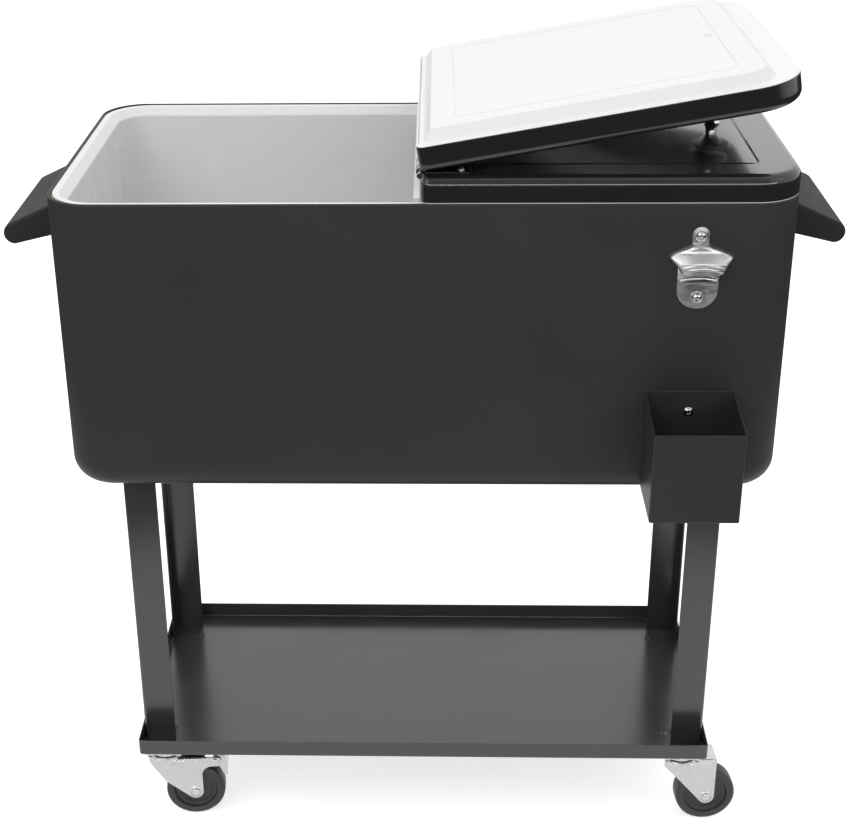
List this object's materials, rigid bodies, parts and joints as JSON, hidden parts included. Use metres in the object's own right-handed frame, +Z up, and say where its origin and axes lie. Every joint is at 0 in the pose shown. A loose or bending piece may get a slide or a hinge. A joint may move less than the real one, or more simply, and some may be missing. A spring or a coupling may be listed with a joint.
{
  "type": "rolling patio cooler",
  "caption": "Rolling patio cooler: insulated steel tub with hinged half lids on a legged cart with shelf tray, swivel casters, end handles, bottle opener and cap catcher.",
  "frame": {"origin": "on the floor, under the centre of the bounding box at rest, which the cap catcher makes 44 mm forward of the centre of the steel box", "axes": "+X along the box to the right seen from the front, +Y from the front to the back, +Z up"},
  "size_m": [0.92, 0.492, 0.9604],
  "materials": {
    "body_paint": "satin",
    "lid_paint": "gloss",
    "cart_paint": "satin",
    "white_liner": "gloss",
    "foam": "matte",
    "zinc": "satin",
    "bright_steel": "satin",
    "chrome": "polished",
    "black_plastic": "gloss",
    "wheel_rubber": "satin"
  },
  "bodies": {
    "cooler": {"back_left_leg": "cart_paint", "back_right_leg": "cart_paint", "bar_screws": "zinc", "bottle_opener": "bright_steel", "box_foam": "foam", "cap_catcher": "body_paint", "caster_balls": "zinc", "caster_bolts": "zinc", "caster_nuts": "zinc", "caster_plates": "zinc", "catcher_screw": "bright_steel", "drain_fitting": "white_liner", "drain_nut": "white_liner", "front_left_leg": "cart_paint", "front_right_leg": "cart_paint", "handle_rivets": "zinc", "hinge_pin": "chrome", "hinge_plates": "zinc", "inner_liner": "white_liner", "kingpins": "zinc", "left_handle": "body_paint", "leg_bolts": "zinc", "middle_bar": "white_liner", "opener_screws": "bright_steel", "outer_shell": "body_paint", "right_handle": "body_paint", "shelf_tray": "cart_paint"},
    "right_lid": {"right_hinge_leaves": "zinc", "right_knob_head": "black_plastic", "right_knob_neck": "chrome", "right_knob_screw": "chrome", "right_lid_foam": "foam", "right_lid_liner": "white_liner", "right_lid_screws": "zinc", "right_lid_shell": "lid_paint"},
    "left_lid": {"left_hinge_leaves": "zinc", "left_knob_head": "black_plastic", "left_knob_neck": "chrome", "left_knob_screw": "chrome", "left_lid_foam": "foam", "left_lid_liner": "white_liner", "left_lid_screws": "zinc", "left_lid_shell": "lid_paint"},
    "front_right_caster": {"front_right_axle": "zinc", "front_right_fork": "zinc"},
    "front_right_roller": {"front_right_wheel": "wheel_rubber"},
    "front_left_caster": {"front_left_axle": "zinc", "front_left_brake_pin": "zinc", "front_left_fork": "zinc"},
    "front_left_roller": {"front_left_wheel": "wheel_rubber"},
    "front_left_brake": {"front_left_brake_lever": "zinc"},
    "back_right_caster": {"back_right_axle": "zinc", "back_right_fork": "zinc"},
    "back_right_roller": {"back_right_wheel": "wheel_rubber"},
    "back_left_caster": {"back_left_axle": "zinc", "back_left_brake_pin": "zinc", "back_left_fork": "zinc"},
    "back_left_roller": {"back_left_wheel": "wheel_rubber"},
    "back_left_brake": {"back_left_brake_lever": "zinc"},
    "drain_plug": {"drain_cap": "black_plastic"}
  },
  "joints": [
    {"name": "right_lid_hinge", "type": "hinge", "parent": "cooler", "child": "right_lid", "pos_m": [0, 0.044, 0.8585], "axis": [0, -1, 0], "range_deg": [0, 170]},
    {"name": "left_lid_hinge", "type": "hinge", "parent": "right_lid", "child": "left_lid", "pos_m": [0, 0.044, 0.8585], "axis": [0, 1, 0], "range_deg": [-170, 0]},
    {"name": "front_right_swivel", "type": "hinge", "parent": "cooler", "child": "front_right_caster", "pos_m": [0.3195, -0.0835, 0.095], "axis": [0, 0, 1], "continuous": true},
    {"name": "front_right_wheel_spin", "type": "hinge", "parent": "front_right_caster", "child": "front_right_roller", "pos_m": [0.35292, -0.08116, 0.037], "axis": [-0.0698, 0.9976, 0], "continuous": true},
    {"name": "front_left_swivel", "type": "hinge", "parent": "cooler", "child": "front_left_caster", "pos_m": [-0.3195, -0.0835, 0.095], "axis": [0, 0, 1], "continuous": true},
    {"name": "front_left_wheel_spin", "type": "hinge", "parent": "front_left_caster", "child": "front_left_roller", "pos_m": [-0.28613, -0.08058, 0.037], "axis": [-0.0872, 0.9962, 0], "continuous": true},
    {"name": "front_left_brake_press", "type": "hinge", "parent": "front_left_caster", "child": "front_left_brake", "pos_m": [-0.26023, -0.07831, 0.082], "axis": [-0.0872, 0.9962, 0], "range_deg": [0, 10]},
    {"name": "back_right_swivel", "type": "hinge", "parent": "cooler", "child": "back_right_caster", "pos_m": [0.3195, 0.1715, 0.095], "axis": [0, 0, 1], "continuous": true},
    {"name": "back_right_wheel_spin", "type": "hinge", "parent": "back_right_caster", "child": "back_right_roller", "pos_m": [0.35282, 0.175, 0.037], "axis": [-0.1045, 0.9945, 0], "continuous": true},
    {"name": "back_left_swivel", "type": "hinge", "parent": "cooler", "child": "back_left_caster", "pos_m": [-0.3195, 0.1715, 0.095], "axis": [0, 0, 1], "continuous": true},
    {"name": "back_left_wheel_spin", "type": "hinge", "parent": "back_left_caster", "child": "back_left_roller", "pos_m": [-0.28605, 0.16975, 0.037], "axis": [0.0523, 0.9986, 0], "continuous": true},
    {"name": "back_left_brake_press", "type": "hinge", "parent": "back_left_caster", "child": "back_left_brake", "pos_m": [-0.26008, 0.16839, 0.082], "axis": [0.0523, 0.9986, 0], "range_deg": [0, 10]},
    {"name": "drain_cap_turn", "type": "hinge", "parent": "cooler", "child": "drain_plug", "pos_m": [0, 0.154, 0.485], "axis": [0, 0, -1], "range_deg": [0, 360]}
  ]
}
